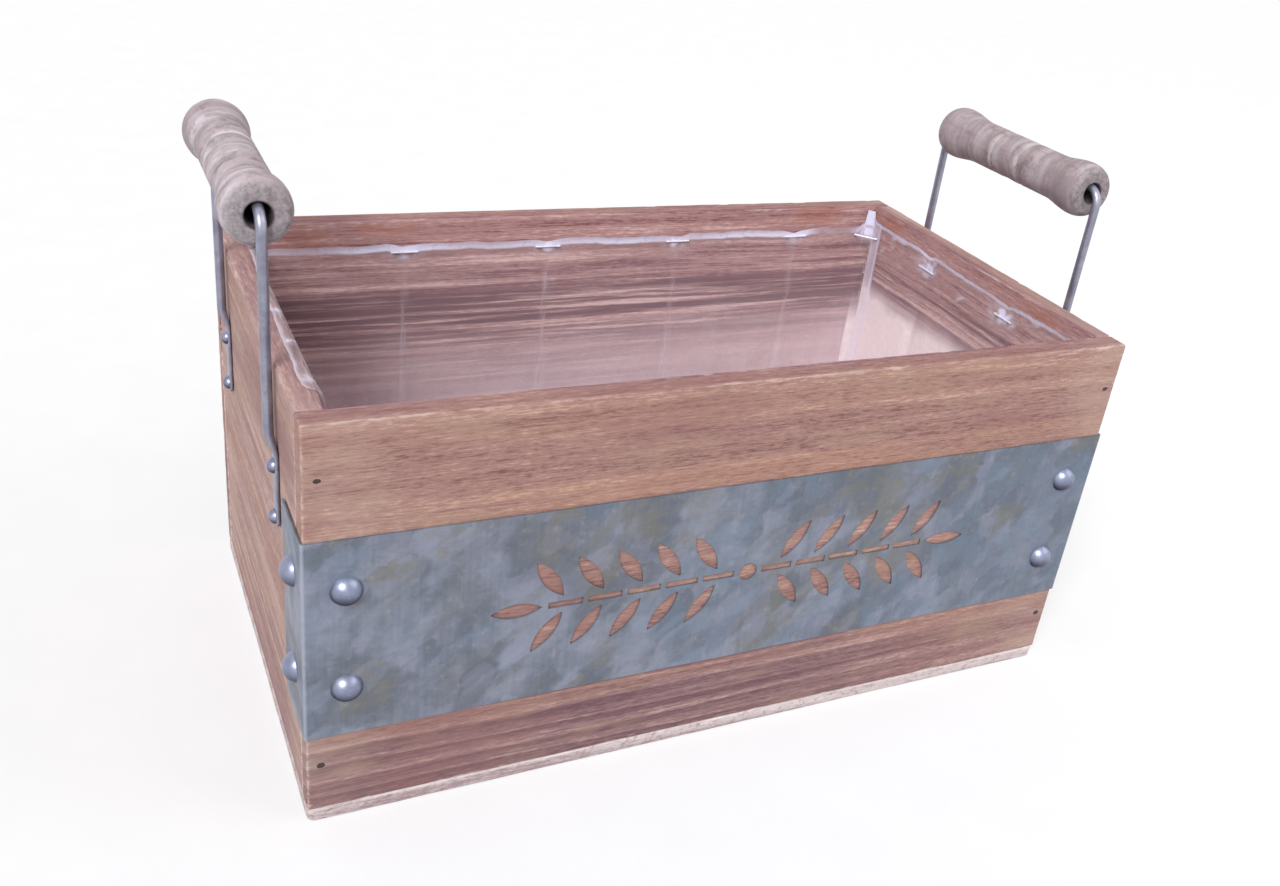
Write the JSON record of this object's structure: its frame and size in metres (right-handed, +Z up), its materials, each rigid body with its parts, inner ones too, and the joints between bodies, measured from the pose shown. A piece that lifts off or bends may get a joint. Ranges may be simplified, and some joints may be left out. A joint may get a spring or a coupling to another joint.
{
  "type": "herb planter box",
  "caption": "Rectangular wooden planter box with a stencilled galvanised band, two wire handles with turned grips that spin, and a stapled film liner.",
  "frame": {"origin": "centre of the bottom board's underside, on the surface the planter stands on", "axes": "+X to the right along the length, -Y out of the front with the metal band, +Z up"},
  "size_m": [0.3258, 0.1722, 0.2005],
  "materials": {
    "flamed_wood": "rough sawn, scorched along the grain and left bare",
    "bottom_wood": "bare thin board",
    "grip_wood": "turned, weathered grey",
    "galvanised_sheet": "galvanised, dull, with large spangles",
    "dome_steel": "zinc plated, satin",
    "wire_steel": "zinc plated wire, satin",
    "nail_steel": "zinc plated",
    "brad_steel": "dulled brad heads",
    "staple_steel": "bright zinc plated",
    "liner_film": "thin clear film, creased and slightly hazy"
  },
  "bodies": {
    "planter": {"front_board": "flamed_wood", "back_board": "flamed_wood", "left_end_board": "flamed_wood", "right_end_board": "flamed_wood", "bottom_board": "bottom_wood", "front_left_brads": "brad_steel", "front_right_brads": "brad_steel", "back_left_brads": "brad_steel", "back_right_brads": "brad_steel", "bottom_brads": "brad_steel", "metal_band": "galvanised_sheet", "front_left_domes": "dome_steel", "front_right_domes": "dome_steel", "left_side_domes": "dome_steel", "right_side_domes": "dome_steel", "left_handle_wire": "wire_steel", "right_handle_wire": "wire_steel", "left_handle_nails": "nail_steel", "right_handle_nails": "nail_steel", "film_liner": "liner_film", "front_staples": "staple_steel", "back_staples": "staple_steel", "left_staples": "staple_steel", "right_staples": "staple_steel"},
    "left_grip": {"left_grip": "grip_wood"},
    "right_grip": {"right_grip": "grip_wood"}
  },
  "joints": [
    {"name": "left_grip_spin", "type": "hinge", "parent": "planter", "child": "left_grip", "pos_m": [-0.1524, 0, 0.19005], "axis": [0, 1, 0], "continuous": true},
    {"name": "right_grip_spin", "type": "hinge", "parent": "planter", "child": "right_grip", "pos_m": [0.1524, 0, 0.19005], "axis": [0, 1, 0], "continuous": true}
  ]
}
